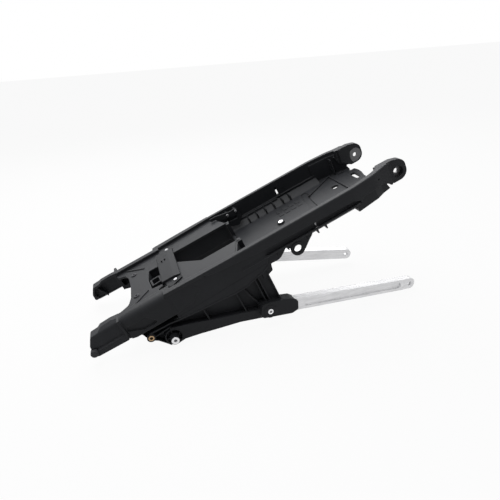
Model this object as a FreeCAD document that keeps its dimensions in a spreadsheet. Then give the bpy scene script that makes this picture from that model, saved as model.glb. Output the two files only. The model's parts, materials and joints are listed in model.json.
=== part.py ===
import FreeCAD, Part
import Sketcher
import math
import os

# Dirt bike rear subframe: one ribbed plastic moulding with two aluminium
# struts plugged into its lower front corners.
# Millimetres. The moulding is drawn with X forward along the rim line,
# Y to the left and the rim plane at Z = 0, then every piece is turned to the
# attitude in which the part rests on a floor.

os.makedirs("parts", exist_ok=True)
doc = FreeCAD.newDocument("rear_subframe")
V = FreeCAD.Vector


class Size:
    # a length that keeps its number together with the cell formula behind it
    def __init__(self, value, text):
        self.value = float(value)
        self.text = text

    def __add__(self, other):
        o = size(other)
        return Size(self.value + o.value, "(" + self.text + " + " + o.text + ")")

    def __radd__(self, other):
        return size(other) + self

    def __sub__(self, other):
        o = size(other)
        return Size(self.value - o.value, "(" + self.text + " - " + o.text + ")")

    def __rsub__(self, other):
        return size(other) - self

    def __mul__(self, other):
        o = size(other)
        return Size(self.value * o.value, "(" + self.text + " * " + o.text + ")")

    def __rmul__(self, other):
        return size(other) * self

    def __truediv__(self, other):
        o = size(other)
        return Size(self.value / o.value, "(" + self.text + " / " + o.text + ")")

    def __neg__(self):
        return Size(-self.value, "(0 - " + self.text + ")")


def size(number):
    if isinstance(number, Size):
        return number
    return Size(number, repr(float(number)))


# Named sizes
sheet = doc.addObject("Spreadsheet::Sheet", "dims")
row_count = 0


def cell(name, value, note):
    global row_count
    row_count += 1
    row = str(row_count)
    sheet.set("A" + row, note)
    sheet.set("B" + row, str(value))
    sheet.setAlias("B" + row, name)
    return Size(value, "dims." + name)


rest_tilt = cell("rest_tilt", 21.462, "rim slope when the part lies on a floor, degrees")
rest_x = cell("rest_x", -341.675, "shift of the drawing origin to the box centre")
rest_z = cell("rest_z", 51.957, "lift that puts the lowest point on the floor")

wall = cell("wall", 3.0, "general moulded wall")
rib = cell("rib", 2.4, "moulded rib thickness")
fit = cell("fit_gap", 0.2, "clearance round pieces set into the moulding")

front_half = cell("front_half", 113.0, "half width over the beams, middle part")
inner_half = cell("inner_half", 102.0, "half width between the beam inner walls")
rear_half = cell("rear_half", 109.0, "half width over the rear ends of the beams")
rear_inner = cell("rear_inner", 84.0, "half width between the rear ends of the beams")
beam_deep = cell("beam_deep", 62.0, "depth of the beam wall below the rim")
skirt_deep = cell("skirt_deep", 24.0, "depth of the outer skirt of the beam")
lip_deep = cell("lip_deep", 37.0, "depth of the lower lip below the rim")
seam_x = cell("seam_x", 66.0, "where the tail prong meets the beam")
bend_x = cell("bend_x", 546.0, "where the beams start to close in")
neck_x = cell("neck_x", 628.0, "front end of the beam, root of the lug")

deck_top = cell("deck_top", -7.0, "height of the rear deck")
deck_thick = cell("deck_thick", 4.0, "thickness of the rear deck")
tray_top = cell("tray_top", -50.0, "height of the tray floor")
tray_front = cell("tray_front", 575.0, "front end of the tray floor")
well_half = cell("well_half", 50.0, "half width of the big deck opening")
well_rear = cell("well_rear", 197.0, "rear edge of the big deck opening")
well_front = cell("well_front", 326.0, "front edge of the big deck opening")

lug_x = cell("lug_x", 647.0, "upper lug axis")
lug_z = cell("lug_z", -28.0, "upper lug axis")
lug_round = cell("lug_round", 17.5, "upper lug nose radius")
lug_outer = cell("lug_outer", 90.5, "outer face of the upper lug")
lug_inner = cell("lug_inner", 77.0, "inner face of the upper lug")
lug_plate = cell("lug_plate", 4.0, "thickness of the lug insert plate")
lug_well = cell("lug_well", 10.85, "radius of the lug counterbore")
lug_bore = cell("lug_bore", 4.5, "radius of the bolt hole in the lug insert")

web_in = cell("web_in", 86.0, "inner face of the side web")
web_thick = cell("web_thick", 3.5, "thickness of the side web panel")
web_out = cell("web_out", 106.0, "outer face of the web rails")

ear_x = cell("ear_x", 412.0, "lower lug axis")
ear_z = cell("ear_z", -59.0, "lower lug axis")
ear_round = cell("ear_round", 14.0, "lower lug radius")
ear_bore = cell("ear_bore", 7.5, "radius of the lower lug hole")
ear_in = cell("ear_in", 96.0, "inner face of the lower lug")

boss_x = cell("boss_x", 134.0, "rear boss axis")
boss_z = cell("boss_z", -88.0, "rear boss axis")
boss_round = cell("boss_round", 17.0, "rear boss radius")
boss_face = cell("boss_face", 104.0, "outer face of the rear boss disc")
hub_round = cell("hub_round", 8.5, "radius of the boss hub")
hub_face = cell("hub_face", 117.5, "outer face of the rear boss hub")
nut_round = cell("nut_round", 5.7, "outer radius of the rear threaded insert")
nut_bore = cell("nut_bore", 3.4, "bore radius of the rear threaded insert")
nut_long = cell("nut_long", 22.0, "length of the rear threaded insert")

brass_x = cell("brass_x", 99.0, "brass insert axis")
brass_z = cell("brass_z", -65.0, "brass insert axis")
brass_face = cell("brass_face", 107.0, "outer face of the brass insert boss")
brass_round = cell("brass_round", 5.4, "outer radius of the brass insert")
brass_bore = cell("brass_bore", 3.0, "bore radius of the brass insert")
brass_long = cell("brass_long", 14.0, "length of the brass insert")

socket_x = cell("socket_x", 311.0, "strut screw station")
socket_right_z = cell("socket_right_z", -137.5, "right strut centre at the screw")
socket_left_z = cell("socket_left_z", -117.5, "left strut centre at the screw")
socket_right_y = cell("socket_right_y", 103.0, "right strut centre at the screw")
socket_left_y = cell("socket_left_y", 104.0, "left strut centre at the screw")
strut_thick = cell("strut_thick", 16.0, "strut thickness across")
strut_high = cell("strut_high", 25.0, "strut height at the socket")
strut_low = cell("strut_low", 22.0, "strut height at the eye")
strut_nose = cell("strut_nose", 12.0, "radius round the strut eye")
strut_bore = cell("strut_bore", 4.5, "radius of the strut eye hole")
right_reach = cell("right_reach", 323.0, "right strut, screw to eye")
left_reach = cell("left_reach", 265.0, "left strut, screw to eye")
right_dip = cell("right_dip", 26.0, "right strut slope below the rim, degrees")
left_dip = cell("left_dip", 27.9, "left strut slope below the rim, degrees")
right_toe = cell("right_toe", 4.4, "right strut toe-in, degrees")
left_toe = cell("left_toe", 5.9, "left strut toe-in, degrees")
screw_round = cell("screw_round", 3.0, "strut screw shank radius")
screw_head = cell("screw_head", 5.5, "strut screw head radius")
plug_face = cell("plug_face", 116.5, "outer face of the front boss")
plug_round = cell("plug_round", 5.4, "outer radius of the front threaded insert")

bridge_rear = cell("bridge_rear", 161.0, "rear edge of the cross bridge")
bridge_wide = cell("bridge_wide", 39.0, "cross bridge from rear to front edge")
bridge_half = cell("bridge_half", 61.0, "half length of the raised bridge")
bridge_rise = cell("bridge_rise", 7.0, "height of the bridge over the deck")
bridge_thick = cell("bridge_thick", 2.5, "bridge plate thickness")
bridge_screw_x = cell("bridge_screw_x", 188.0, "bridge foot screw")
bridge_screw_y = cell("bridge_screw_y", 70.0, "bridge foot screw")

carrier_y = cell("carrier_y", 85.0, "inner face of the left electronics bracket")
carrier_thick = cell("carrier_thick", 2.5, "electronics bracket thickness")

peg_x = cell("peg_x", 4.0, "tail peg axis")
peg_z = cell("peg_z", -29.0, "tail peg axis")
peg_round = cell("peg_round", 7.0, "tail peg radius")

deck_hole_x = cell("deck_hole_x", 108.0, "deck insert station")
deck_hole_y = cell("deck_hole_y", 45.0, "deck insert offset")
deck_hole_round = cell("deck_hole_round", 3.6, "deck insert outer radius")
tray_hole_x = cell("tray_hole_x", 422.0, "tray insert station")
tray_hole_y = cell("tray_hole_y", 8.0, "tray insert offset")
doc.recompute()


# Sketch helpers
def plane(body, role):
    for item in body.Origin.OriginFeatures:
        if item.Role == role:
            return item


def blank_sketch(body, name, role, start):
    sketch = body.newObject("Sketcher::SketchObject", name)
    sketch.AttachmentSupport = (plane(body, role), [""])
    sketch.MapMode = "FlatFace"
    shift = size(start)
    if role == "XZ_Plane":
        shift = -shift
    sketch.AttachmentOffset = FreeCAD.Placement(V(0, 0, shift.value), FreeCAD.Rotation())
    if "dims." in shift.text:
        sketch.setExpression("AttachmentOffset.Base.z", shift.text)
    return sketch


def pin_point(rules, formulas, entity, vertex, corner, base):
    # fixes one point by its two distances from the sketch origin
    kinds = ("DistanceX", "DistanceY")
    for k in range(2):
        value = size(corner[k])
        rules.append(Sketcher.Constraint(kinds[k], -1, 1, entity, vertex, value.value))
        if "dims." in value.text:
            formulas.append((base + len(rules) - 1, value.text))


def outline(sketch, corners):
    # closed outline through the given corners; a third number rounds a corner
    count = len(corners)
    points = []
    radii = []
    for corner in corners:
        points.append(V(size(corner[0]).value, size(corner[1]).value, 0))
        radii.append(size(corner[2]).value if len(corner) > 2 else 0.0)
    enter = []
    leave = []
    arcs = []
    for i in range(count):
        here = points[i]
        if radii[i] == 0.0:
            enter.append(here)
            leave.append(here)
            arcs.append(None)
            continue
        back = (points[i - 1] - here).normalize()
        ahead = (points[(i + 1) % count] - here).normalize()
        half = back.getAngle(ahead) / 2
        reach = radii[i] / math.tan(half)
        enter.append(here + back * reach)
        leave.append(here + ahead * reach)
        middle = here + (back + ahead).normalize() * (radii[i] / math.sin(half))
        turn = (here - points[i - 1]).cross(points[(i + 1) % count] - here).z
        first = enter[i] if turn > 0 else leave[i]
        last = leave[i] if turn > 0 else enter[i]
        a0 = math.atan2(first.y - middle.y, first.x - middle.x)
        a1 = math.atan2(last.y - middle.y, last.x - middle.x)
        arcs.append((middle, a0, a1, turn > 0))
    shapes = []
    first_entity = sketch.GeometryCount
    base = sketch.ConstraintCount
    for i in range(count):
        shapes.append(Part.LineSegment(leave[i], enter[(i + 1) % count]))
    arc_entity = {}
    marks = []
    for i in range(count):
        if arcs[i] is not None:
            middle, a0, a1, left = arcs[i]
            arc_entity[i] = first_entity + len(shapes)
            circle = Part.Circle(middle, V(0, 0, 1), radii[i])
            shapes.append(Part.ArcOfCircle(circle, a0, a1))
            marks.append(i)
    sketch.addGeometry(shapes, False)
    rules = []
    formulas = []
    for i in range(count):
        line_in = first_entity + (i - 1) % count
        line_out = first_entity + i
        if arcs[i] is None:
            rules.append(Sketcher.Constraint("Coincident", line_in, 2, line_out, 1))
            pin_point(rules, formulas, line_out, 1, corners[i], base)
            continue
        arc = arc_entity[i]
        begin = 1 if arcs[i][3] else 2
        mark = sketch.addGeometry(Part.Point(points[i]), True)
        rules.append(Sketcher.Constraint("Tangent", line_in, 2, arc, begin))
        rules.append(Sketcher.Constraint("Tangent", arc, 3 - begin, line_out, 1))
        rules.append(Sketcher.Constraint("Radius", arc, radii[i]))
        radius = size(corners[i][2])
        if "dims." in radius.text:
            formulas.append((base + len(rules) - 1, radius.text))
        rules.append(Sketcher.Constraint("PointOnObject", mark, 1, line_in))
        rules.append(Sketcher.Constraint("PointOnObject", mark, 1, line_out))
        pin_point(rules, formulas, mark, 1, corners[i], base)
    sketch.addConstraint(rules)
    for number, text in formulas:
        sketch.setExpression("Constraints[" + str(number) + "]", text)


def ring(sketch, x, z, radius):
    # one circle with a placed centre
    r = size(radius)
    centre = V(size(x).value, size(z).value, 0)
    base = sketch.ConstraintCount
    entity = sketch.addGeometry(Part.Circle(centre, V(0, 0, 1), r.value), False)
    rules = []
    formulas = []
    pin_point(rules, formulas, entity, 3, (x, z), base)
    rules.append(Sketcher.Constraint("Radius", entity, r.value))
    if "dims." in r.text:
        formulas.append((base + len(rules) - 1, r.text))
    sketch.addConstraint(rules)
    for number, text in formulas:
        sketch.setExpression("Constraints[" + str(number) + "]", text)


cuts = []


def draw(sketch, loops):
    for loop in loops:
        if isinstance(loop, tuple):
            ring(sketch, loop[0], loop[1], loop[2])
        else:
            outline(sketch, loop)


def set_length(feature, depth):
    value = size(depth)
    feature.Length = value.value
    if "dims." in value.text:
        feature.setExpression("Length", value.text)


def add(body, name, role, start, depth, loops):
    # material from the start plane towards +X, +Y or +Z
    sketch = blank_sketch(body, name + "_sketch", role, start)
    draw(sketch, loops)
    pad = body.newObject("PartDesign::Pad", name)
    pad.Profile = sketch
    set_length(pad, depth)
    pad.Reversed = (role == "XZ_Plane")
    pad.Refine = False
    return pad


def cut(body, name, role, start, depth, loops):
    # a cut from the start plane towards +X, +Y or +Z
    sketch = blank_sketch(body, name + "_sketch", role, start)
    draw(sketch, loops)
    before = body.Tip
    pocket = body.newObject("PartDesign::Pocket", name)
    pocket.Profile = sketch
    set_length(pocket, depth)
    pocket.Reversed = (role != "XZ_Plane")
    pocket.Refine = False
    cuts.append((pocket, before))
    return pocket


def new_body(name):
    body = doc.addObject("PartDesign::Body", name)
    body.Label = name
    return body


def strip(points, low, first_above=True):
    # thin band that follows a line, the line being its upper side
    upper = [(p[0], p[1]) for p in points]
    lower = [(p[0], p[1] - low) for p in reversed(points)]
    return upper + lower


def both_halves(half):
    # the right half is the mirror image of the left one
    doc.recompute()
    mirror = half.newObject("PartDesign::Mirrored", half.Name + "_pair")
    mirror.TransformMode = "Whole shape"
    mirror.MirrorPlane = (plane(half, "XZ_Plane"), [""])
    half.Tip = mirror


# Main moulding: regions of one casting, drawn as left halves and joined at the end
body = new_body("beam_half")

# the beam in plan: straight in the middle, closing in to the lug in front
add(body, "beam_front", "XY_Plane", -beam_deep, beam_deep, [[
    (160, rear_half), (290, front_half - 1), (bend_x, front_half - 1, 150),
    (bend_x + 46, front_half - 7, 60), (bend_x + 63, front_half - 13, 50), (neck_x, front_half - 18),
    (neck_x, inner_half - 21), (bend_x + 63, inner_half - 16, 50), (bend_x + 46, inner_half - 8, 60),
    (bend_x, inner_half, 150), (290, inner_half), (160, inner_half - 9)]])
doc.recompute()
rim_edges = []
tip_shape = body.Tip.Shape
for n in range(len(tip_shape.Edges)):
    edge = tip_shape.Edges[n]
    box = edge.BoundBox
    middle = edge.valueAt((edge.FirstParameter + edge.LastParameter) / 2)
    if box.ZMin > -0.01 and middle.y > 0.5 * (front_half.value + inner_half.value) - 6 and middle.x < neck_x.value - 1:
        outer = middle.y > inner_half.value + 4 or (middle.x > bend_x.value + 10 and middle.y > front_half.value - 18.5)
        if outer and middle.x > 161:
            rim_edges.append("Edge" + str(n + 1))
rim_round = body.newObject("PartDesign::Fillet", "rim_round")
rim_round.Base = (body.Tip if body.Tip.Name != "rim_round" else doc.beam_front, rim_edges)
rim_round.Radius = 3.0
doc.recompute()

# lower edge of the beam: full depth over the web, lip depth beside the tray
cut(body, "beam_under", "XZ_Plane", 60, 70, [[
    (336, -90), (345, -56), (356, -lip_deep), (bend_x + 6, -lip_deep), (bend_x + 14, -28),
    (600, -29), (614, -31, 10), (624, -43, 6), (650, -46), (650, -90)]])

# rear end of the beam: a rounded block
add(body, "beam_rear", "YZ_Plane", seam_x, 106, [[
    (rear_inner, 0), (rear_half - 1.5, 0, 13), (rear_half + 0.5, -48, 3), (rear_inner + 2, -48)]])
cut(body, "rear_under", "XZ_Plane", 70, 50, [[
    (50, -60), (50, -42), (seam_x, -42), (82, -47.2), (92, -60)]])
# flat cheek that runs in towards the recess
cut(body, "cheek", "XY_Plane", -60, 70, [[
    (158, rear_half + 8), (158, rear_half + 0.2), (166, rear_half - 2.2), (224, rear_half - 4), (300, rear_half + 12)]])
add(body, "rim_cap", "XY_Plane", -6, 6, [[
    (163, rear_half - 3), (224, rear_half - 5), (296, front_half - 9), (296, front_half - 1), (224, rear_half + 1.5), (163, rear_half - 1)]])
# deep recess under the skirt, between the rim and the lip or web flange
cut(body, "side_recess", "XZ_Plane", inner_half + 3, 30, [[
    (222, -27, 4), (206, -7, 4), (290, -14, 60), (347, -19.5, 60), (bend_x - 8, -skirt_deep), (bend_x + 6, -31), (bend_x + 6, -64),
    (150, -64), (150, -49), (196, -44, 4)]])
# long groove low on the rear beam
cut(body, "rear_groove", "XZ_Plane", rear_half - 3.5, 12, [[
    (74, -21, 3), (112, -21, 4), (130, -41, 4), (100, -41, 4), (74, -29, 3)]])
# seam step between prong and beam
cut(body, "seam_step", "XZ_Plane", rear_half - 1.8, 12, [[
    (seam_x - 4, 6), (seam_x + 2.5, 6), (seam_x + 6.5, -22), (seam_x + 7, -60), (seam_x - 4, -60)]])

# hollow of the box beam, open below, with cross ribs left between the cells
first_cell = cut(body, "beam_cell", "XY_Plane", -80, 80 - 3.4, [[
    (232, inner_half + 3), (270, inner_half + 3), (270, front_half - 4.4), (232, front_half - 5.4)]])
cells = body.newObject("PartDesign::LinearPattern", "beam_cells")
cells.Originals = [first_cell]
cells.Direction = (plane(body, "X_Axis"), [""])
cells.Length = 280.0
cells.Occurrences = 8
body.Tip = cells
cut(body, "rear_cell", "XY_Plane", -80, 72, [[
    (74, rear_inner + 5), (150, rear_inner + 12), (150, rear_half - 8), (74, rear_half - 8)]])

# two slots through the inner wall
cut(body, "wall_slots", "XZ_Plane", inner_half - 10, 14, [
    [(457, -14.5, 1.6), (461, -14.5, 1.6), (461, -32, 1.6), (457, -32, 1.6)],
    [(554, -13, 1.6), (558, -13, 1.6), (558, -33, 1.6), (554, -33, 1.6)]])
# far end cell beside the seam
cut(body, "seam_cell", "XZ_Plane", rear_inner - 5, 19, [[
    (seam_x + 6, -13, 3), (98, -13, 3), (98, -30, 3), (seam_x + 6, -36, 3)]])
cut(body, "beam_pin_hole", "XZ_Plane", front_half - 12, 20, [(600, -15, 1.6)])
both_halves(body)
beam = body

# tray floor with sloping hull side
body = new_body("tray_half")
add(body, "tray", "YZ_Plane", 300, bend_x - 294, [[
    (-2, tray_top), (81, tray_top), (inner_half + 0.4, -lip_deep), (inner_half + 0.4, -33), (inner_half + 3, -33),
    (inner_half + 5, -39, 1.5), (83, -55.5, 2), (-2, tray_top - wall)]])
cut(body, "tray_rear_edge", "XY_Plane", -70, 36, [[
    (280, -3), (well_front + 0.5, -3), (well_front + 0.5, well_half), (320, well_half + 1), (302.5, inner_half + 1), (302.5, 114), (280, 114)]])
# cross channel in the floor
cut(body, "tray_channel", "XY_Plane", tray_top - 2, 6, [[
    (490, -3), (503, -3), (506, 40), (513, 52), (511, 78), (500, 78), (495, 52), (492, 40)]])
# raised edges that bound the floor panels
# small grip pads
pads_first = add(body, "tray_pad", "XY_Plane", tray_top - 0.5, 1.7, [[
    (430, 34), (440, 34), (440, 40), (430, 40)]])
pad_rows = body.newObject("PartDesign::LinearPattern", "tray_pads")
pad_rows.Originals = [pads_first]
pad_rows.Direction = (plane(body, "X_Axis"), [""])
pad_rows.Length = 45.0
pad_rows.Occurrences = 4
body.Tip = pad_rows
pads_second = add(body, "tray_pad_outer", "XY_Plane", tray_top - 0.5, 1.7, [[
    (430, 50), (440, 50), (440, 62), (430, 62)]])
pad_rows_outer = body.newObject("PartDesign::LinearPattern", "tray_pads_outer")
pad_rows_outer.Originals = [pads_second]
pad_rows_outer.Direction = (plane(body, "X_Axis"), [""])
pad_rows_outer.Length = 45.0
pad_rows_outer.Occurrences = 4
body.Tip = pad_rows_outer
# gussets between wall and floor
gusset_loops = []
for gx in (373, 394, 415, 436, 458, 476):
    gusset_loops.append([(gx, 79), (gx + 2.2, 79), (gx + 2.2, inner_half + 1), (gx, inner_half + 1)])
add(body, "gussets", "XY_Plane", tray_top - 1, 12.5, gusset_loops)
both_halves(body)
add(body, "tray_seat", "XY_Plane", tray_top - wall, wall + 3, [(tray_hole_x, tray_hole_y, 8)])
cut(body, "tray_seat_hole", "XY_Plane", tray_top - 8, 16, [(tray_hole_x, tray_hole_y, 3.4 + fit)])
tray = body

# floor plate in front of the tray with its curved tongue
body = new_body("front_half_plate")
add(body, "front_plate", "XY_Plane", tray_top - 5, 5, [[
    (bend_x, -2), (624, -2), (625, 12, 4), (630, 32, 12), (631.5, 48, 6), (630, 64, 3), (619, 62, 4), (623, 81, 2),
    (609, inner_half - 16), (592, inner_half - 9), (bend_x, inner_half - 3)]])
cut(body, "front_slot", "XY_Plane", tray_top - 8, 12, [
    [(609, 14, 4), (618, 14, 4), (619, 48, 4), (609, 48, 4)],
    [(594, 74, 2), (610, 70, 2), (610, 75, 2), (594, 79, 2)]])
cut(body, "front_oval", "XY_Plane", tray_top - 8, 16, [[
    (555, 23, 6.5), (570, 23, 6.5), (570, 37, 6.5), (555, 37, 6.5)]])
add(body, "tray_rail_front", "XY_Plane", tray_top - 0.5, 3.2, [[
    (506, 50), (509, 48.5), (583, 88), (580, 90)]])
add(body, "tray_step", "XY_Plane", tray_top - 0.5, 4, [[
    (tray_front, -2), (tray_front + 3, -2), (tray_front + 3, 82), (tray_front, 82)]])
# wall beside the front plate
add(body, "front_wall", "XY_Plane", tray_top - 5, -tray_top - 3, [[
    (bend_x, inner_half - 3), (bend_x + 46, inner_half - 11), (bend_x + 63, inner_half - 19), (bend_x + 81, inner_half - 24),
    (bend_x + 82, inner_half - 20.5), (bend_x + 63, inner_half - 15.5), (bend_x + 46, inner_half - 7.5), (bend_x, inner_half + 0.5)]])
cut(body, "front_wall_edge", "XZ_Plane", 70, 20, [[
    (640, -62), (627, -56), (622, -44), (626, -34), (640, -34)]])
add(body, "wall_ribs", "XZ_Plane", inner_half - 22, 13, [
    [(600, -12), (603, -11), (613, -33), (610, -34)],
    [(590, -13), (592.5, -13), (592.5, -48), (590, -48)]])

both_halves(body)
front = body

# upper lug
body = new_body("lug_half")
add(body, "lug", "XZ_Plane", lug_inner, lug_outer - lug_inner, [[
    (612, 0), (lug_x - 8, -0.5, 14), (lug_x + lug_round, lug_z + 20, lug_round - 0.5),
    (lug_x + lug_round, lug_z - lug_round, lug_round - 0.5), (633, lug_z - lug_round, 6), (624, -40, 6), (612, -31)]])
add(body, "lug_root", "XZ_Plane", lug_inner + 3, lug_outer - lug_inner + 1, [[
    (606, 0), (626, 0), (634, -3, 3), (636, -34, 3), (626, -42, 4), (606, -30)]])
cut(body, "lug_counterbore", "XZ_Plane", lug_inner - 1, lug_outer - lug_inner + 9, [(lug_x, lug_z, lug_well)])
insert_shape = [
    (638, -16, 6), (653, -13.5, 7), (661, -21, 8), (662, -35, 9), (650, -43, 8), (637, -42, 5), (634.5, -30, 6)]
grown_shape = [
    (638 - fit, -16 + fit, 6), (653, -13.5 + fit, 7), (661 + fit, -21 + fit, 8), (662 + fit, -35 - fit, 9),
    (650, -43 - fit, 8), (637 - fit, -42 - fit, 5), (634.5 - fit, -30, 6)]
cut(body, "lug_plate_seat", "XZ_Plane", lug_inner - 1, lug_plate + 1, [grown_shape])

cut(body, "lug_pin_hole", "XZ_Plane", lug_outer - 6, 30, [(622, -12, 1.6)])
both_halves(body)
lugs = body

body = new_body("lip_half")
# lower lip along the bottom of the wall
add(body, "lip", "XY_Plane", -lip_deep, wall, [[
    (344, inner_half - 3), (358, front_half - 1, 6), (bend_x - 6, front_half - 1, 6),
    (bend_x + 12, inner_half + 1), (bend_x + 12, inner_half - 4)]])

# lower lug under the lip
add(body, "ear", "XZ_Plane", ear_in, wall + 0.5, [[
    (391, -lip_deep + 1), (452, -lip_deep + 1), (447, -48, 4), (438, -55, 6), (ear_x + 12, ear_z - 9, 4),
    (ear_x - 6, ear_z - 2), (394, -46, 4)]])
add(body, "ear_disc", "XZ_Plane", ear_in, wall + 1.5, [(ear_x, ear_z, ear_round)])
cut(body, "ear_hole", "XZ_Plane", ear_in - 6, 20, [(ear_x, ear_z, ear_bore)])
add(body, "corner_tab", "XZ_Plane", ear_in, wall + 1, [[
    (330, -50), (345, -lip_deep + 1), (400, -lip_deep + 1), (391, -45.5, 5), (376, -57, 5), (368, -59, 3), (354, -58, 3),
    (351.5, -72, 3), (341, -76), (330, -80)]])

both_halves(body)
lips = body

# tail prong: a channel open to the inside
body = new_body("prong_half")
add(body, "prong", "XZ_Plane", rear_inner, 28, [[
    (seam_x + 6, 0.5), (57, 2, 8), (36, 1, 8), (29, -3, 6), (14, -4, 5), (5, -18, 10), (4, -38, 4), (10, -40.5, 4),
    (seam_x + 2, -42), (seam_x + 6, -30)]])
cut(body, "prong_side", "YZ_Plane", -20, seam_x + 21.5, [[
    (rear_inner + 9, 3.5), (rear_inner + 21, -3.5, 6), (rear_inner + 25, -24, 3), (rear_inner + 24, -28.5, 1.5), (rear_inner + 28, -31, 2),
    (rear_inner + 40, -31), (rear_inner + 40, 12), (rear_inner + 9, 12)]])
cut(body, "prong_channel", "XZ_Plane", rear_inner - 5, 21, [[
    (seam_x - 2, -3.5, 3), (36, -3.5, 6), (28, -7.5, 5), (16, -8.5, 5), (9, -19, 6), (8.5, -36.5, 3), (seam_x - 2, -38, 3)]])
cut(body, "prong_lower", "YZ_Plane", -20, seam_x + 20, [[
    (rear_inner - 4, -27), (rear_inner + 4, -27), (rear_inner + 20, -43), (rear_inner - 4, -48)]])
add(body, "prong_ribs", "XZ_Plane", rear_inner + 3, 15, [
    [(18, -9), (20.5, -9), (34, -37.5), (31, -37.5)],
    [(34, -37.5), (31.5, -37.5), (46, -3), (48.5, -3)],
    [(46, -3), (48.8, -3), (60, -38), (57, -38)]])
cut(body, "peg_hole", "XZ_Plane", rear_inner - 6, 60, [(peg_x + 2, peg_z - 2, peg_round - 2.8 + fit)])

cut(body, "peg_seat", "XZ_Plane", rear_inner + 21.2, 20, [(peg_x + 2, peg_z - 2, peg_round + fit)])
both_halves(body)
prongs = body

# rear deck with its shelves
body = new_body("deck_half")
add(body, "deck", "XY_Plane", deck_top - deck_thick, deck_thick, [[
    (98, -2), (96, 40, 30), (90, 62, 12), (73, 70, 4), (seam_x + 3, 78, 2), (seam_x + 3, rear_inner + 3), (160, inner_half - 6), (301, inner_half + 1),
    (319, well_half), (well_front, well_half - 1), (well_front, well_half - 3), (well_rear, well_half - 3), (well_rear, -2)]])
# walls that hang from the deck round the opening and behind the tray
add(body, "well_wall", "XY_Plane", -46, 46 + deck_top - 1, [
    [(well_rear - wall, -2), (well_rear, -2), (well_rear, well_half), (330, well_half), (330, well_half + wall), (well_rear - wall, well_half + wall)]])
add(body, "tray_back_wall", "XY_Plane", tray_top - 3.5, -tray_top + 3.5 + deck_top - 1, [[
    (well_front - 4, well_half - 1), (319, well_half), (301, inner_half + 2), (304.5, inner_half + 2), (321.5, well_half + 2.5),
    (well_front + 3, well_half + 1.5), (well_front + 3, well_half - 10), (well_front - 4, well_half - 10)]])
add(body, "well_front_beam", "XY_Plane", -54, 16, [[
    (well_front - 4, -2), (well_front + 1.6, -2), (well_front + 1.6, well_half), (well_front - 4, well_half)]])
# low ridge on the deck beside the prong
add(body, "deck_ridge", "XY_Plane", deck_top - 0.5, 2.3, [[
    (92, 78), (95, 80.5), (133, 50), (131, 47.5)]])
add(body, "deck_seats", "XY_Plane", deck_top - 15, 15.8, [(deck_hole_x, deck_hole_y, deck_hole_round + 3)])
cut(body, "deck_seat_holes", "XY_Plane", deck_top - 13, 15, [(deck_hole_x, deck_hole_y, deck_hole_round + fit)])
# ribs under the deck and the shelves
add(body, "deck_ribs", "XY_Plane", deck_top - deck_thick - 13, 14, [
    [(118, -2), (118 + rib, -2), (118 + rib, rear_inner + 6), (118, rear_inner + 6)],
    [(182, -2), (182 + rib, -2), (182 + rib, 96), (182, 96)],
    [(240, well_half + 1), (240 + rib, well_half + 1), (240 + rib, 100), (240, 100)],
    [(285, well_half + 1), (285 + rib, well_half + 1), (285 + rib, 102), (285, 102)]])

both_halves(body)
deck = body

# what differs from side to side
add(body, "well_corner", "XY_Plane", deck_top - deck_thick, deck_thick, [[
    (well_rear - 2, 2), (well_rear + 4, -2), (240, -well_half + 8), (248, -well_half - 1), (well_rear - 2, -well_half - 1)]])
cut(body, "deck_pocket", "XY_Plane", deck_top - 40, 44, [[
    (140, 26, 3), (176, 24, 3), (173, -50, 3), (162, -54, 3), (140, -50, 3), (136, -12, 4)]])
add(body, "deck_pocket_floor", "XY_Plane", deck_top - 22, 3, [[
    (134, 30), (180, 28), (178, -54), (160, -58), (136, -54), (132, -12)]])
add(body, "deck_pocket_wall", "XY_Plane", deck_top - 22, 19, [
    [(132.5, 29), (182, 28), (182, 25), (175, 24), (140, 26.5), (136, -12), (140, -50.5), (162, -54.5), (172, -50.5), (182, -50), (182, -54),
     (160, -58), (136, -54), (132, -12)]])
add(body, "deck_tab", "XY_Plane", deck_top - 20, 18.5, [[
    (138, -12), (159, -10), (162, -36), (141, -38)]])
cut(body, "deck_tab_slot", "XY_Plane", deck_top - 12, 16, [[
    (142, -15), (156, -14), (158, -33), (144, -34)]])
cut(body, "deck_round_hole", "XY_Plane", deck_top - 20, 24, [(160, -70, 8)])
add(body, "carrier_bosses", "XZ_Plane", carrier_y + carrier_thick, inner_half + 1 - carrier_y - carrier_thick, [
    (356, -9.5, 3.6), (336, -9.5, 3.6)])
cut(body, "carrier_holes", "XZ_Plane", carrier_y + carrier_thick - 1, 13, [
    (356, -9.5, 1.5 + fit), (336, -9.5, 1.5 + fit)])
for side, label in ((1, "left"), (-1, "right")):
    y0 = bridge_screw_y * side
    cut(body, "bridge_hole_" + label, "XY_Plane", deck_top - 12, 16, [(bridge_screw_x, y0, 2 + fit)])


def strut_frame(side):
    # the frame of a strut: origin at its screw, X towards its eye
    if side > 0:
        middle = V(socket_x.value, socket_left_y.value, socket_left_z.value)
        toe = -left_toe.value
        dip = left_dip.value
    else:
        middle = V(socket_x.value, -socket_right_y.value, socket_right_z.value)
        toe = right_toe.value
        dip = right_dip.value
    turn = FreeCAD.Rotation(V(0, 0, 1), toe).multiply(FreeCAD.Rotation(V(0, 1, 0), dip))
    return FreeCAD.Placement(middle, turn)


def strut_sketch(name, side):
    # a sketch in the middle plane of a strut
    sketch = body.newObject("Sketcher::SketchObject", name)
    sketch.AttachmentSupport = (plane(body, "XZ_Plane"), [""])
    sketch.MapMode = "FlatFace"
    base = FreeCAD.Placement(V(0, 0, 0), FreeCAD.Rotation(V(1, 0, 0), 90))
    sketch.AttachmentOffset = base.inverse().multiply(strut_frame(side)).multiply(base)
    return sketch


def both_ways(feature, depth):
    feature.SideType = "Symmetric"
    feature.Refine = False
    set_length(feature, depth)


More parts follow.
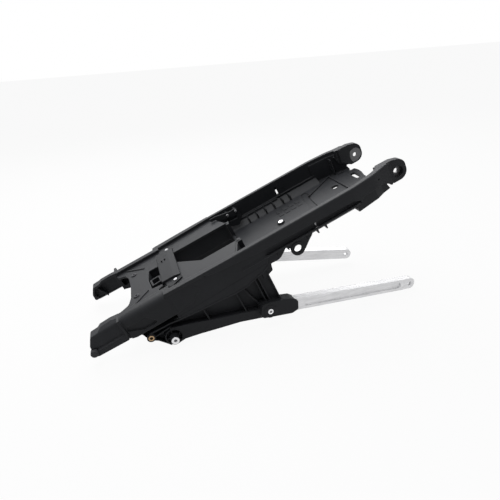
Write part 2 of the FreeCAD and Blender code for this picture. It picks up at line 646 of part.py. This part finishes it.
def out_add(body, name, side, near, depth, loops):
    # material from |Y| = near outwards, on the given side
    start = near if side > 0 else -(size(near) + depth)
    return add(body, name, "XZ_Plane", start, depth, loops)


def out_cut(body, name, side, near, depth, loops):
    # a cut from |Y| = near outwards, on the given side
    start = near if side > 0 else -(size(near) + depth)
    return cut(body, name, "XZ_Plane", start, depth, loops)


webs = []
for side, label in ((1, "left"), (-1, "right")):
    body = new_body("web_" + label)
    # side web: closed panel, upper flange, lower rail and upright ribs
    flange_line = [
        (100, -55), (140, -57), (171, -61), (208, -65), (241, -67), (272, -71), (296, -70), (317, -64), (333, -61), (346, -54)]
    rail_top = [(135, -67), (171, -80), (203, -94), (241, -109), (270, -120), (303, -134)]
    rail_low = [(295, -151), (251, -132.5), (217, -122.5), (176, -110), (149, -103), (135, -104)]
    out_add(body, "web_panel_" + label, side, web_in, web_thick, [[
        (88, -44), (346, -50), (350, -60), (341, -76), (341, -152), (305, -152)] + rail_low + [(120, -101), (112, -88), (103, -75), (94, -68), (90, -58)]])
    out_add(body, "web_flange_" + label, side, web_in, web_out - web_in, [strip(flange_line, 3)])
    out_add(body, "web_rail_" + label, side, web_in, web_out - web_in, [rail_top + rail_low])
    out_cut(body, "rail_hollow_" + label, side, web_in - 1, web_out - web_in - 3.5, [[
        (172, -86), (203, -100), (241, -115), (270, -126), (292, -136), (288, -144), (251, -128), (217, -118), (178, -105)]])
    rib_loops = []
    for rx, top, low in ((203.5, -62, -96), (270, -68, -123), (312, -62, -134)):
        rib_loops.append([(rx, top), (rx + rib, top), (rx + rib, low), (rx, low)])
    out_add(body, "web_ribs_" + label, side, web_in, 18, rib_loops)
    out_add(body, "web_column_" + label, side, web_in, 10, [[
        (320, -60), (341, -74), (341, -150), (320, -146)]])
    out_add(body, "column_ribs_" + label, side, web_in, 18, [
        [(319, -60), (321.5, -62), (321.5, -136), (319, -136)],
        [(338.5, -68), (341, -74), (341, -140), (338.5, -140)]])
    out_add(body, "web_joint_" + label, side, inner_half - 1, 4.4, [[
        (150, -56), (346, -50)] + list(reversed(flange_line[2:]))])
    out_add(body, "web_cross_rib_" + label, side, web_in, 12, [
        [(282, -68), (285, -68), (303, -132), (300, -132)]])

    # rear boss with ribbed disc and standing hub
    out_add(body, "boss_" + label, side, web_in, boss_face - web_in, [(boss_x, boss_z, boss_round)])
    out_cut(body, "boss_recess_" + label, side, boss_face - 9, 12, [
        (boss_x, boss_z, boss_round - 2.6)])
    out_add(body, "boss_spokes_" + label, side, boss_face - 10, 8.5, [
        [(boss_x - boss_round + 1, boss_z - 1), (boss_x + boss_round - 1, boss_z - 1), (boss_x + boss_round - 1, boss_z + 1), (boss_x - boss_round + 1, boss_z + 1)]])
    out_add(body, "boss_spokes_up_" + label, side, boss_face - 10, 8.5, [
        [(boss_x - 1, boss_z - boss_round + 1), (boss_x + 1, boss_z - boss_round + 1), (boss_x + 1, boss_z + boss_round - 1), (boss_x - 1, boss_z + boss_round - 1)]])
    out_add(body, "boss_hub_" + label, side, web_in, hub_face - web_in, [(boss_x, boss_z, hub_round)])
    out_cut(body, "boss_bore_" + label, side, hub_face - nut_long, nut_long + 4, [(boss_x, boss_z, nut_round + fit)])

    # brass insert boss with its rib to the rail
    out_add(body, "brass_boss_" + label, side, web_in, brass_face - web_in, [(brass_x, brass_z, brass_round + 2.6)])
    out_add(body, "brass_rib_" + label, side, web_in, 17, [[
        (103, -68), (105, -70), (139, -68.5), (138, -65.5)]])
    out_add(body, "tail_edge_" + label, side, web_in, 16, [strip([
        (84, -46), (89, -50), (92, -61), (98, -71.5), (106, -78), (114, -90), (121, -101)], 2.4)])
    out_cut(body, "brass_hole_" + label, side, brass_face - brass_long, brass_long + 3, [(brass_x, brass_z, brass_round + fit)])

    # socket block in line with the strut
    sketch = strut_sketch("socket_sketch_" + label, side)
    outline(sketch, [
        (-18, -15.5, 8), (46, -15.5, 7), (59, -9, 6), (57, 10, 6), (44, 16.5, 6), (28, 17, 5), (-4, 15.5, 6), (-18, 12, 8)])
    block = body.newObject("PartDesign::Pad", "socket_" + label)
    block.Profile = sketch
    both_ways(block, strut_thick + 7)
    sketch = strut_sketch("boss_sketch_" + label, side)
    ring(sketch, 0, -3, 13)
    block = body.newObject("PartDesign::Pad", "front_boss_" + label)
    block.Profile = sketch
    both_ways(block, strut_thick + 9)
    # the square hole that takes the strut
    sketch = strut_sketch("socket_hole_sketch_" + label, side)
    outline(sketch, [
        (-14, -strut_high / 2 - fit, 4), (90, -strut_high / 2 - fit), (90, strut_high / 2 + fit), (-14, strut_high / 2 + fit, 4)])
    before = body.Tip
    hole = body.newObject("PartDesign::Pocket", "socket_hole_" + label)
    hole.Profile = sketch
    both_ways(hole, strut_thick + 2 * fit)
    cuts.append((hole, before))
    # hole for the screw and the threaded insert in one line
    sketch = strut_sketch("screw_hole_sketch_" + label, side)
    ring(sketch, 0, -3, plug_round + fit)
    before = body.Tip
    hole = body.newObject("PartDesign::Pocket", "screw_hole_" + label)
    hole.Profile = sketch
    both_ways(hole, strut_thick + 40)
    cuts.append((hole, before))
    webs.append(body)

main = doc.addObject("Part::MultiFuse", "main_moulding")
main.Label = "main_moulding"
main.Shapes = [beam, tray, front, lugs, lips, prongs, deck] + webs
main.Refine = True


def make_strut(name, side, reach):
    # milled bar with a round eye end and a long pocket on its outer face
    bar = new_body(name)
    sketch = bar.newObject("Sketcher::SketchObject", name + "_side")
    sketch.AttachmentSupport = (plane(bar, "XZ_Plane"), [""])
    sketch.MapMode = "FlatFace"
    outline(sketch, [
        (-13.8, -strut_high / 2, 4), (60, -strut_high / 2, 200), (reach + strut_nose, -strut_low / 2 - 0.6, strut_nose - 0.8),
        (reach + strut_nose, strut_low / 2 + 0.6, strut_nose - 0.8), (60, strut_high / 2, 200), (-13.8, strut_high / 2, 4)])
    pad = bar.newObject("PartDesign::Pad", name + "_bar")
    pad.Profile = sketch
    both_ways(pad, strut_thick)
    # eye and screw hole
    sketch = bar.newObject("Sketcher::SketchObject", name + "_holes")
    sketch.AttachmentSupport = (plane(bar, "XZ_Plane"), [""])
    sketch.MapMode = "FlatFace"
    ring(sketch, reach, 0, strut_bore)
    ring(sketch, 0, -3, screw_round + fit)
    before = bar.Tip
    hole = bar.newObject("PartDesign::Pocket", name + "_bores")
    hole.Profile = sketch
    both_ways(hole, strut_thick + 10)
    cuts.append((hole, before))
    # shallow milled pocket between the socket and the eye, on the outer side
    start = strut_thick / 2 - 3
    if side < 0:
        start = -strut_thick / 2 - 2
    cut(bar, name + "_milled", "XZ_Plane", start, 5, [[
        (74, -strut_high / 2 + 5.5, 4), (reach - 30, -strut_low / 2 + 5, 4), (reach - 22, -2, 3), (reach - 26, strut_low / 2 - 5, 4),
        (74, strut_high / 2 - 5.5, 4)]])
    # step down to the flat round the eye
    cut(bar, name + "_step", "XZ_Plane", start + (1.8 if side > 0 else 0), 3.2, [[
        (reach - 14, -strut_low), (reach + 20, -strut_low), (reach + 20, strut_low), (reach - 18, strut_low)]])
    return bar


strut_left = make_strut("strut_left", 1, left_reach)
strut_right = make_strut("strut_right", -1, right_reach)


def turned(name, profile, second=None):
    # a turned piece on its own Z axis, drawn as a half section (radius, height)
    piece = new_body(name)
    sketch = piece.newObject("Sketcher::SketchObject", name + "_section")
    sketch.AttachmentSupport = (plane(piece, "XZ_Plane"), [""])
    sketch.MapMode = "FlatFace"
    if second is not None:
        sketch.setExpression("AttachmentOffset.Base.z", (-size(second)).text)
    outline(sketch, profile)
    spin = piece.newObject("PartDesign::Revolution", name + "_turned")
    spin.Profile = sketch
    spin.ReferenceAxis = (sketch, ["V_Axis"])
    spin.Angle = 360.0
    return piece


# Placing
rest = FreeCAD.Placement(V(rest_x.value, 0, rest_z.value), FreeCAD.Rotation(V(0, 1, 0), -rest_tilt.value))
pieces = []


def place(piece, local=None):
    piece.Placement = rest if local is None else rest.multiply(local)
    pieces.append(piece)


def outward(x, y, z, side):
    # local Z pointing away from the middle, origin at the given point
    turn = FreeCAD.Rotation(V(1, 0, 0), -90 * side)
    return FreeCAD.Placement(V(size(x).value, size(y).value * side, size(z).value), turn)


place(main)
place(strut_left, strut_frame(1))
place(strut_right, strut_frame(-1))

for side, label in ((1, "left"), (-1, "right")):
    # lug insert plate, flush with the inner face of the lug
    plate = new_body("lug_insert_" + label)
    out_add(plate, "plate_" + label, side, lug_inner, lug_plate, [insert_shape])
    out_cut(plate, "plate_hole_" + label, side, lug_inner - 2, lug_plate + 4, [(lug_x, lug_z, lug_bore)])
    place(plate)
    # rear boss threaded insert with a flange on the hub face
    nut = turned("rear_boss_insert_" + label, [
        (nut_bore, -nut_long + 1), (nut_round, -nut_long + 1), (nut_round, 0), (hub_round - 1.3, 0), (hub_round - 1.3, 1.2, 0.5), (nut_bore, 1.2)])
    place(nut, outward(boss_x, hub_face, boss_z, side))
    brass = turned("brass_insert_" + label, [
        (brass_bore, -brass_long + 1), (brass_round, -brass_long + 1), (brass_round, 0.8, 0.4), (brass_bore, 0.8)])
    place(brass, outward(brass_x, brass_face, brass_z, side))
    peg = turned("tail_peg_" + label, [
        (0, -14), (peg_round - 2.8, -14), (peg_round - 2.8, 0), (peg_round, 0), (peg_round, 11, 2.5), (0, 11)])
    place(peg, outward(peg_x + 2, rear_inner + 21.2, peg_z - 2, side))
    # front threaded insert and the screw that holds the strut
    half = strut_thick / 2
    reach_out = half + fit
    plug = turned("front_boss_insert_" + label, [
        (screw_round - 0.4, reach_out), (plug_round, reach_out), (plug_round, half + 5.5, 0.6), (screw_round - 0.4, half + 5.5)])
    frame = strut_frame(side).multiply(FreeCAD.Placement(V(0, 0, -3), FreeCAD.Rotation(V(1, 0, 0), -90 * side)))
    place(plug, frame)
    screw = turned("strut_screw_" + label, [
        (0, -half - 5.2), (screw_head - 0.3, -half - 5.2, 1), (screw_head - 0.3, -half - fit), (screw_round, -half - fit),
        (screw_round, reach_out - 0.4), (0, reach_out - 0.4)])
    place(screw, frame)

# cross bridge: a bent plate over the deck with a foot on each side
bridge = new_body("cross_bridge")
foot = deck_top
top = deck_top + bridge_rise
add(bridge, "bridge_top", "XZ_Plane", -bridge_half, bridge_half * 2, [[
    (bridge_rear, foot + 0.3), (bridge_rear + bridge_thick, foot + 0.3), (bridge_rear + bridge_thick + 1.5, top - bridge_thick),
    (bridge_rear + 26, top - bridge_thick), (bridge_rear + bridge_wide - 3, top - bridge_thick - 2.2),
    (bridge_rear + bridge_wide - 3, foot + 0.3), (bridge_rear + bridge_wide - 0.5, foot + 0.3),
    (bridge_rear + bridge_wide, top - 2.5), (bridge_rear + 26.5, top), (bridge_rear + 2, top, 1.5)]])
for side, label in ((1, "left"), (-1, "right")):
    add(bridge, "foot_" + label, "XY_Plane", foot, bridge_thick, [[
        (bridge_rear + 6, (bridge_half - 2) * side), (bridge_rear + 39, (bridge_half - 2) * side), (bridge_rear + 40, (bridge_half + 10) * side, 3),
        (bridge_rear + 18, (bridge_half + 24) * side, 4), (bridge_rear + 10, (bridge_half + 20) * side, 4)]])
    add(bridge, "bridge_end_" + label, "XZ_Plane", -bridge_half if side < 0 else bridge_half - bridge_thick, bridge_thick, [[
        (bridge_rear, foot + 0.3), (bridge_rear + bridge_wide - 0.5, foot + 0.3), (bridge_rear + bridge_wide, top - 2.5), (bridge_rear + 26.5, top), (bridge_rear + 2, top, 1.5)]])
    cut(bridge, "foot_hole_" + label, "XY_Plane", foot - 1, 6, [(bridge_screw_x, bridge_screw_y * side, 2 + fit)])
cut(bridge, "bridge_slots", "XY_Plane", top - 5, 8, [
    [(171, 16), (174, 16), (174, 25), (171, 25)],
    [(178, 18), (181, 18), (181, 26), (178, 26)]])
place(bridge)

# bridge screws
screws = turned("bridge_screws", [
    (0, -deck_thick - 6), (2, -deck_thick - 6), (2, bridge_thick), (3.8, bridge_thick), (3.8, bridge_thick + 2.2, 0.8), (0, bridge_thick + 2.2)],
    bridge_screw_y)
doc.recompute()
flip = screws.newObject("PartDesign::Mirrored", "bridge_screws_pair")
flip.TransformMode = "Whole shape"
flip.MirrorPlane = (plane(screws, "XZ_Plane"), [""])
screws.Tip = flip
place(screws, FreeCAD.Placement(V(bridge_screw_x.value, 0, deck_top.value), FreeCAD.Rotation()))

# electronics bracket on the left wall
carrier = new_body("side_bracket_left")
add(carrier, "carrier_plate", "XZ_Plane", carrier_y, carrier_thick, [[
    (296, 2, 2), (312, 1.5, 4), (341, -4, 4), (361, -4.5, 3), (364, -27, 5), (350, -43, 4), (338, -39, 6), (314, -27, 4), (312, -5, 2), (299, -5, 2)]])
cut(carrier, "carrier_window", "XZ_Plane", carrier_y - 2, 8, [[
    (318, -13, 2), (331, -16, 3), (354, -19, 3), (354, -26, 3), (326, -24, 3)]])
cut(carrier, "carrier_screw_holes", "XZ_Plane", carrier_y - 2, 8, [(356, -9.5, 1.5 + fit), (336, -9.5, 1.5 + fit)])
place(carrier)
pair = turned("bracket_screws", [
    (0, -2), (3.0, -2, 0.8), (3.0, 0), (1.5, 0), (1.5, 12), (0, 12)])
row = pair.newObject("PartDesign::LinearPattern", "bracket_screws_pair")
row.Originals = [doc.getObject("bracket_screws_turned")]
row.Direction = (plane(pair, "X_Axis"), [""])
row.Length = 20.0
row.Occurrences = 2
pair.Tip = row
place(pair, outward(336, carrier_y, -9.5, 1))

# deck inserts and the tray insert
lining = turned("deck_inserts", [
    (1.9, -12), (deck_hole_round, -12), (deck_hole_round, 0.8), (deck_hole_round + 1.6, 0.8), (deck_hole_round + 1.6, 1.8, 0.5), (1.9, 1.8)],
    deck_hole_y)
doc.recompute()
flip = lining.newObject("PartDesign::Mirrored", "deck_inserts_pair")
flip.TransformMode = "Whole shape"
flip.MirrorPlane = (plane(lining, "XZ_Plane"), [""])
lining.Tip = flip
place(lining, FreeCAD.Placement(V(deck_hole_x.value, 0, deck_top.value), FreeCAD.Rotation()))
eyelet = turned("tray_insert", [
    (2.0, -2.8), (3.4, -2.8), (3.4, 3), (5.4, 3), (5.4, 4, 0.5), (2.0, 4)])
place(eyelet, FreeCAD.Placement(V(tray_hole_x.value, tray_hole_y.value, tray_top.value), FreeCAD.Rotation()))

doc.recompute()

# Checks before anything is written
for item in doc.Objects:
    if "Invalid" in item.State or "Error" in item.State:
        raise RuntimeError("failed object " + item.Name)
for pocket, before in cuts:
    if pocket.Shape.Volume > before.Shape.Volume - 0.5:
        raise RuntimeError("a cut removes nothing: " + pocket.Name)
for piece in pieces:
    shape = piece.Shape
    if shape.isNull() or not shape.isValid():
        raise RuntimeError("bad shape " + piece.Label)
    print(piece.Label, len(shape.Solids), "solids", round(shape.Volume / 1000, 2), "cm3")
low = min(piece.Shape.BoundBox.ZMin for piece in pieces)
print("lowest point", round(low, 3))
for piece in pieces:
    piece.Shape.exportStep("parts/" + piece.Label + ".step")
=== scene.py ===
import bpy
import bmesh
import json
import math
from mathutils import Matrix, Vector


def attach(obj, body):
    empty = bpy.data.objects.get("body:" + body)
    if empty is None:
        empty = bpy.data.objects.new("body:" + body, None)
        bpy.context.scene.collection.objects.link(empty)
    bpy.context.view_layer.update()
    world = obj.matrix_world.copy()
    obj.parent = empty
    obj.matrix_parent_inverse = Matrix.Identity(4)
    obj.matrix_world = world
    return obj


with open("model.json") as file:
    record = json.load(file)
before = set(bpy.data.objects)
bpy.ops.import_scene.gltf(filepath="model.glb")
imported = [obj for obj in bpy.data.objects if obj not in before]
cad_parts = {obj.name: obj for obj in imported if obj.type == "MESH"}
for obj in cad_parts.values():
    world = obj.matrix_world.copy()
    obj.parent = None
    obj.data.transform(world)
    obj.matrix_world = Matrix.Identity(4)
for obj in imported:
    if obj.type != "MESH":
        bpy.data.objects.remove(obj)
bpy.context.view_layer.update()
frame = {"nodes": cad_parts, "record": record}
scene = bpy.context.scene

# The part is drawn along its rim line in millimetres. At rest that line climbs
# to the front by TILT, and the drawing's origin lies at SHIFT (metres).
TILT = math.radians(21.462)
SHIFT = Vector((-0.341675, 0.0, 0.051957))
TURN = Matrix.Rotation(-TILT, 3, "Y")

LENS_MM = 32.4
SENSOR_MM = 36.0

# Radii that the shading rounds edges off by, in metres
PLASTIC_EDGE = 0.0022
METAL_EDGE = 0.0008
RELIEF = 0.0002          # height of the fine surface relief, in metres
PLASTIC_GLOSS = 0.16     # specular level of the moulded plastics

FLOOR_SIZE = 30.0
PALE_SHARE = 0.94        # the rest of the floor's look is lit paper and shadow
AIM = Vector((0, 0, 0.1))

# Rear boss inserts in the drawing, in millimetres
BOSS_X, BOSS_FACE, BOSS_Z = 134, 117.6, -88
HEX_FLATS = 0.0044
HEX_DEEP = 0.004
HEX_POINTS = 24
RING_WIDTH = 0.78        # outer radius of the ring, in flats


def at(x, y, z):
    # millimetres along the rim line to metres in the part's frame
    return TURN @ Vector((x, y, z)) / 1000.0 + SHIFT


# Camera
right = TURN @ Vector((0.86685, -0.28193, -0.41120))
up = TURN @ Vector((0.49441, 0.37983, 0.78185))
back = -(TURN @ Vector((0.06424, 0.88105, -0.46865)))
eye = at(279.39, -810.48, 366.27)
cam_data = bpy.data.cameras.new("camera")
cam_data.sensor_width = SENSOR_MM
cam_data.lens = LENS_MM
cam_data.clip_end = 60.0
cam = bpy.data.objects.new("camera", cam_data)
scene.collection.objects.link(cam)
cam.matrix_world = Matrix((
    (right.x, up.x, back.x, eye.x),
    (right.y, up.y, back.y, eye.y),
    (right.z, up.z, back.z, eye.z),
    (0, 0, 0, 1)))
scene.camera = cam
scene.view_settings.view_transform = "Standard"


# Materials
def new_material(name):
    mat = bpy.data.materials.new(name)
    mat.use_nodes = True
    nodes = mat.node_tree.nodes
    nodes.clear()
    out = nodes.new("ShaderNodeOutputMaterial")
    bsdf = nodes.new("ShaderNodeBsdfPrincipled")
    mat.node_tree.links.new(bsdf.outputs[0], out.inputs[0])
    return mat, nodes, mat.node_tree.links, bsdf


def noise(nodes, links, coords, scale, detail, rough):
    tex = nodes.new("ShaderNodeTexNoise")
    tex.inputs["Scale"].default_value = scale
    tex.inputs["Detail"].default_value = detail
    tex.inputs["Roughness"].default_value = rough
    links.new(coords, tex.inputs["Vector"])
    return tex.outputs[0]


def ramp(nodes, links, source, low, dark, high, light):
    node = nodes.new("ShaderNodeValToRGB")
    links.new(source, node.inputs[0])
    first, last = node.color_ramp.elements
    first.position, first.color = low, (*dark, 1)
    last.position, last.color = high, (*light, 1)
    return node.outputs[0]


def span(nodes, links, source, low, high):
    node = nodes.new("ShaderNodeMapRange")
    node.inputs["To Min"].default_value = low
    node.inputs["To Max"].default_value = high
    links.new(source, node.inputs["Value"])
    return node.outputs["Result"]


def scaled_sum(nodes, links, part, share, whole):
    node = nodes.new("ShaderNodeMath")
    node.operation = "MULTIPLY_ADD"
    links.new(part, node.inputs[0])
    node.inputs[1].default_value = share
    links.new(whole, node.inputs[2])
    return node.outputs[0]


def bump(nodes, links, bsdf, height, strength, edge):
    # fine relief over edges that are rounded off by the radius edge
    node = nodes.new("ShaderNodeBump")
    rounded = nodes.new("ShaderNodeBevel")
    rounded.samples = 6
    rounded.inputs["Radius"].default_value = edge
    links.new(rounded.outputs[0], node.inputs["Normal"])
    node.inputs["Strength"].default_value = strength
    node.inputs["Distance"].default_value = RELIEF
    links.new(height, node.inputs["Height"])
    links.new(node.outputs[0], bsdf.inputs["Normal"])


def moulded_plastic(name, dark, light, rough_low, rough_high, grain=1500.0):
    # fibre-filled moulding: fine spark-eroded grain, faint cloudy flow marks
    mat, nodes, links, bsdf = new_material(name)
    coords = nodes.new("ShaderNodeTexCoord").outputs["Object"]
    cloud = noise(nodes, links, coords, 14.0, 4.0, 0.6)
    fine = noise(nodes, links, coords, grain, 2.0, 0.6)
    mid = noise(nodes, links, coords, 160.0, 3.0, 0.6)
    colour = ramp(nodes, links, cloud, 0.3, dark, 0.7, light)
    links.new(colour, bsdf.inputs["Base Color"])
    mixed = scaled_sum(nodes, links, mid, 0.5, cloud)
    rough = span(nodes, links, mixed, rough_low, rough_high)
    links.new(rough, bsdf.inputs["Roughness"])
    bump(nodes, links, bsdf, fine, 0.25, PLASTIC_EDGE)
    bsdf.inputs["Specular IOR Level"].default_value = PLASTIC_GLOSS
    return mat


def brushed(name, dark, light, rough_low, rough_high, stretch):
    # bare metal with long brushing marks along the piece
    mat, nodes, links, bsdf = new_material(name)
    coords = nodes.new("ShaderNodeTexCoord").outputs["Object"]
    mapping = nodes.new("ShaderNodeMapping")
    mapping.inputs["Scale"].default_value = stretch
    links.new(coords, mapping.inputs["Vector"])
    lines = noise(nodes, links, mapping.outputs[0], 60.0, 6.0, 0.7)
    cloud = noise(nodes, links, coords, 30.0, 3.0, 0.5)
    mixed = scaled_sum(nodes, links, cloud, 0.35, lines)
    colour = ramp(nodes, links, mixed, 0.4, dark, 0.9, light)
    links.new(colour, bsdf.inputs["Base Color"])
    rough = span(nodes, links, lines, rough_low, rough_high)
    links.new(rough, bsdf.inputs["Roughness"])
    bump(nodes, links, bsdf, lines, 0.12, METAL_EDGE)
    bsdf.inputs["Metallic"].default_value = 1.0
    return mat


# name: dark and light colour, lowest and highest roughness, grain or stretch
PLASTICS = {
    "body_plastic": (
        (0.017, 0.018, 0.020), (0.026, 0.027, 0.030), 0.38, 0.55),
    "bracket_plastic": (
        (0.015, 0.016, 0.018), (0.022, 0.023, 0.025), 0.5, 0.65, 1900.0),
    "peg_plastic": (
        (0.035, 0.035, 0.038), (0.05, 0.05, 0.054), 0.45, 0.6),
    "seat_plastic": (
        (0.045, 0.045, 0.05), (0.06, 0.06, 0.066), 0.45, 0.6),
}
METALS = {
    "strut_alloy": (
        (0.54, 0.54, 0.55), (0.76, 0.76, 0.77), 0.42, 0.58, (0.35, 6.0, 6.0)),
    "insert_alloy": (
        (0.08, 0.08, 0.083), (0.13, 0.13, 0.133), 0.38, 0.55, (3.0, 3.0, 3.0)),
    "insert_steel": (
        (0.68, 0.68, 0.69), (0.86, 0.86, 0.87), 0.25, 0.4, (4.0, 1.0, 4.0)),
    "screw_steel": (
        (0.3, 0.3, 0.31), (0.42, 0.42, 0.43), 0.3, 0.45, (4.0, 4.0, 4.0)),
    "insert_brass": (
        (0.30, 0.20, 0.11), (0.52, 0.37, 0.22), 0.35, 0.5, (4.0, 1.0, 4.0)),
}
by_slot = {name: moulded_plastic(name, *v) for name, v in PLASTICS.items()}
by_slot.update({name: brushed(name, *v) for name, v in METALS.items()})
slot_of = {s["node"]: s["material_slot"] for s in frame["record"]["subparts"]}
for name, obj in frame["nodes"].items():
    finish = by_slot[slot_of[name]]
    if len(obj.material_slots) == 0:
        obj.data.materials.append(finish)
    for place in obj.material_slots:
        place.material = finish


# Floor and world: pale where they are seen, dimmer where they light the part
def seen_directly(nodes, links, most):
    # rays from the camera, or by way of gloss or glass, see the pale backdrop
    path = nodes.new("ShaderNodeLightPath")
    share = path.outputs["Is Camera Ray"]
    for kind in ("Is Glossy Ray", "Is Transmission Ray"):
        larger = nodes.new("ShaderNodeMath")
        larger.operation = "MAXIMUM"
        links.new(share, larger.inputs[0])
        links.new(path.outputs[kind], larger.inputs[1])
        share = larger.outputs[0]
    scaled = nodes.new("ShaderNodeMath")
    scaled.operation = "MULTIPLY"
    links.new(share, scaled.inputs[0])
    scaled.inputs[1].default_value = most
    return scaled.outputs[0]


def mix_in(nodes, links, share, lit, pale, out):
    mix = nodes.new("ShaderNodeMixShader")
    links.new(share, mix.inputs[0])
    links.new(lit.outputs[0], mix.inputs[1])
    links.new(pale.outputs[0], mix.inputs[2])
    links.new(mix.outputs[0], out.inputs[0])


h = FLOOR_SIZE / 2
floor_mesh = bpy.data.meshes.new("floor")
floor_mesh.from_pydata(
    [(-h, -h, 0), (h, -h, 0), (h, h, 0), (-h, h, 0)], [], [(0, 1, 2, 3)])
floor = bpy.data.objects.new("floor", floor_mesh)
scene.collection.objects.link(floor)
floor_mat = bpy.data.materials.new("floor")
floor_mat.use_nodes = True
nodes = floor_mat.node_tree.nodes
links = floor_mat.node_tree.links
nodes.clear()
out = nodes.new("ShaderNodeOutputMaterial")
paper = nodes.new("ShaderNodeBsdfDiffuse")
paper.inputs[0].default_value = (0.6, 0.6, 0.6, 1)
white = nodes.new("ShaderNodeEmission")
white.inputs[0].default_value = (1, 1, 1, 1)
white.inputs[1].default_value = 1.0
mix_in(nodes, links, seen_directly(nodes, links, PALE_SHARE), paper, white, out)
floor.data.materials.append(floor_mat)

world = bpy.data.worlds.new("studio")
scene.world = world
world.use_nodes = True
nodes = world.node_tree.nodes
links = world.node_tree.links
nodes.clear()
out = nodes.new("ShaderNodeOutputWorld")
soft = nodes.new("ShaderNodeBackground")
soft.inputs[0].default_value = (0.9, 0.93, 1.0, 1)
soft.inputs[1].default_value = 0.15
plain = nodes.new("ShaderNodeBackground")
plain.inputs[0].default_value = (1, 1, 1, 1)
plain.inputs[1].default_value = 1.0
mix_in(nodes, links, seen_directly(nodes, links, 1.0), soft, plain, out)


# Lamps
def area(name, where, width, height, power):
    data = bpy.data.lights.new(name, "AREA")
    data.shape = "RECTANGLE"
    data.size = width
    data.size_y = height
    data.energy = power
    obj = bpy.data.objects.new(name, data)
    scene.collection.objects.link(obj)
    obj.location = where
    direction = AIM - Vector(where)
    obj.rotation_euler = direction.to_track_quat("-Z", "Y").to_euler()


area("top_light", (-0.35, 0.1, 1.5), 1.2, 1.0, 18.0)
area("back_light", (0.0, 1.25, 1.4), 2.2, 1.2, 32.0)


# Hexagon sockets in the rear boss inserts
def hexagon(name, centre, axis):
    # a ring whose hole is a hexagon, set just inside the end of an insert
    bm = bmesh.new()
    side = axis.cross(Vector((0.3, 0.1, 0.9))).normalized()
    other = axis.cross(side)
    outer, inner, floor_ring = [], [], []
    for i in range(HEX_POINTS):
        a = 2 * math.pi * i / HEX_POINTS
        from_flat = (a + math.pi / 6) % (math.pi / 3) - math.pi / 6
        r_in = HEX_FLATS / 2 / math.cos(from_flat)
        d = side * math.cos(a) + other * math.sin(a)
        outer.append(bm.verts.new(centre + d * HEX_FLATS * RING_WIDTH))
        inner.append(bm.verts.new(centre + d * r_in))
        floor_ring.append(bm.verts.new(centre + d * r_in - axis * HEX_DEEP))
    for i in range(HEX_POINTS):
        j = (i + 1) % HEX_POINTS
        bm.faces.new((outer[i], outer[j], inner[j], inner[i]))
        bm.faces.new((inner[i], inner[j], floor_ring[j], floor_ring[i]))
    bm.faces.new(floor_ring)
    bmesh.ops.recalc_face_normals(bm, faces=bm.faces)
    mesh = bpy.data.meshes.new(name)
    bm.to_mesh(mesh)
    bm.free()
    obj = bpy.data.objects.new(name, mesh)
    scene.collection.objects.link(obj)
    obj.data.materials.append(by_slot["screw_steel"])
    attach(obj, "root")


for side, label in ((1, "left"), (-1, "right")):
    hexagon("boss_hex_" + label, at(BOSS_X, BOSS_FACE * side, BOSS_Z),
            Vector((0, side, 0)))
